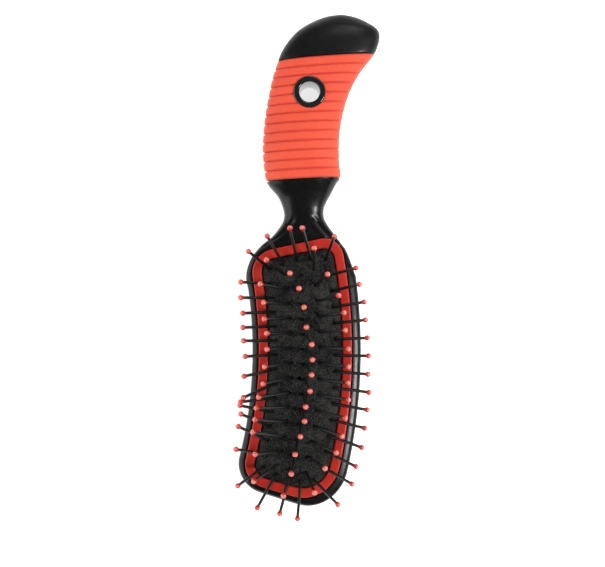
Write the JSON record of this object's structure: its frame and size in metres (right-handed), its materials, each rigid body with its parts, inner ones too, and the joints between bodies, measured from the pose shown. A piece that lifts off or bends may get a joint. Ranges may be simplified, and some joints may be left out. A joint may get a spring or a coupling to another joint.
{
  "type": "pin brush",
  "caption": "Curved pet grooming brush with ball-tipped pins in a domed rubber cushion, a red retaining frame, and a ribbed S-shaped handle with a hanging hole.",
  "frame": {"origin": "centre of the flat land under the head that the brush rests on", "axes": "+Z the way the pins point, +Y from the head towards the handle's end, +X to the bulging side of the head"},
  "size_m": [0.0643, 0.2226, 0.0421],
  "materials": {
    "body_black": "glossy",
    "cap_black": "glossy",
    "grip_coral": "matt, finely pebbled",
    "eyelet_black": "satin",
    "frame_red": "satin",
    "cushion_black": "cloth-textured",
    "lining_cloth": "woven",
    "pin_black": "glossy",
    "tip_red": "glossy"
  },
  "bodies": {
    "body": {"brush_body": "body_black", "end_cap": "cap_black", "grip_sleeve": "grip_coral", "eyelet_front": "eyelet_black", "eyelet_back": "eyelet_black", "retaining_frame": "frame_red", "cushion_pad": "cushion_black"},
    "cushion_core": {"cushion_lining": "lining_cloth"},
    "left_outer_row": {"left_outer_pins": "pin_black", "left_outer_tips": "tip_red"},
    "left_inner_row": {"left_inner_pins": "pin_black", "left_inner_tips": "tip_red"},
    "centre_row": {"centre_pins": "pin_black", "centre_tips": "tip_red"},
    "right_inner_row": {"right_inner_pins": "pin_black", "right_inner_tips": "tip_red"},
    "right_outer_row": {"right_outer_pins": "pin_black", "right_outer_tips": "tip_red"},
    "heel_row": {"heel_pins": "pin_black", "heel_tips": "tip_red"},
    "toe_row": {"toe_pins": "pin_black", "toe_tips": "tip_red"}
  },
  "joints": [
    {"name": "cushion_press", "type": "slide", "parent": "body", "child": "cushion_core", "axis": [0, 0, -1], "range_m": [0, 0.0025], "stiffness_N_per_m": 3000, "deforming": ["cushion_pad"]},
    {"name": "left_outer_rock", "type": "hinge", "parent": "cushion_core", "child": "left_outer_row", "pos_m": [-0.01338, 0.00339, 0.01735], "axis": [0.0377, 0.9993, 0], "range_deg": [-8, 8], "stiffness_Nm_per_rad": 0.12},
    {"name": "left_inner_rock", "type": "hinge", "parent": "cushion_core", "child": "left_inner_row", "pos_m": [-0.00705, 0.00315, 0.02002], "axis": [0.0377, 0.9993, 0], "range_deg": [-8, 8], "stiffness_Nm_per_rad": 0.12},
    {"name": "centre_rock", "type": "hinge", "parent": "cushion_core", "child": "centre_row", "pos_m": [-0.00046, 0.00242, 0.02077], "axis": [0.0399, 0.9992, 0], "range_deg": [-8, 8], "stiffness_Nm_per_rad": 0.12},
    {"name": "right_inner_rock", "type": "hinge", "parent": "cushion_core", "child": "right_inner_row", "pos_m": [0.00604, 0.00266, 0.02001], "axis": [0.0377, 0.9993, 0], "range_deg": [-8, 8], "stiffness_Nm_per_rad": 0.12},
    {"name": "right_outer_rock", "type": "hinge", "parent": "cushion_core", "child": "right_outer_row", "pos_m": [0.01283, 0.0024, 0.01735], "axis": [0.0377, 0.9993, 0], "range_deg": [-8, 8], "stiffness_Nm_per_rad": 0.12},
    {"name": "heel_rock", "type": "hinge", "parent": "cushion_core", "child": "heel_row", "pos_m": [-0.00224, 0.05063, 0.01675], "axis": [0.9846, 0.1748, 0], "range_deg": [-8, 8], "stiffness_Nm_per_rad": 0.12},
    {"name": "toe_rock", "type": "hinge", "parent": "cushion_core", "child": "toe_row", "pos_m": [-0.00621, -0.04383, 0.01708], "axis": [0.9697, -0.2443, 0], "range_deg": [-8, 8], "stiffness_Nm_per_rad": 0.12}
  ]
}
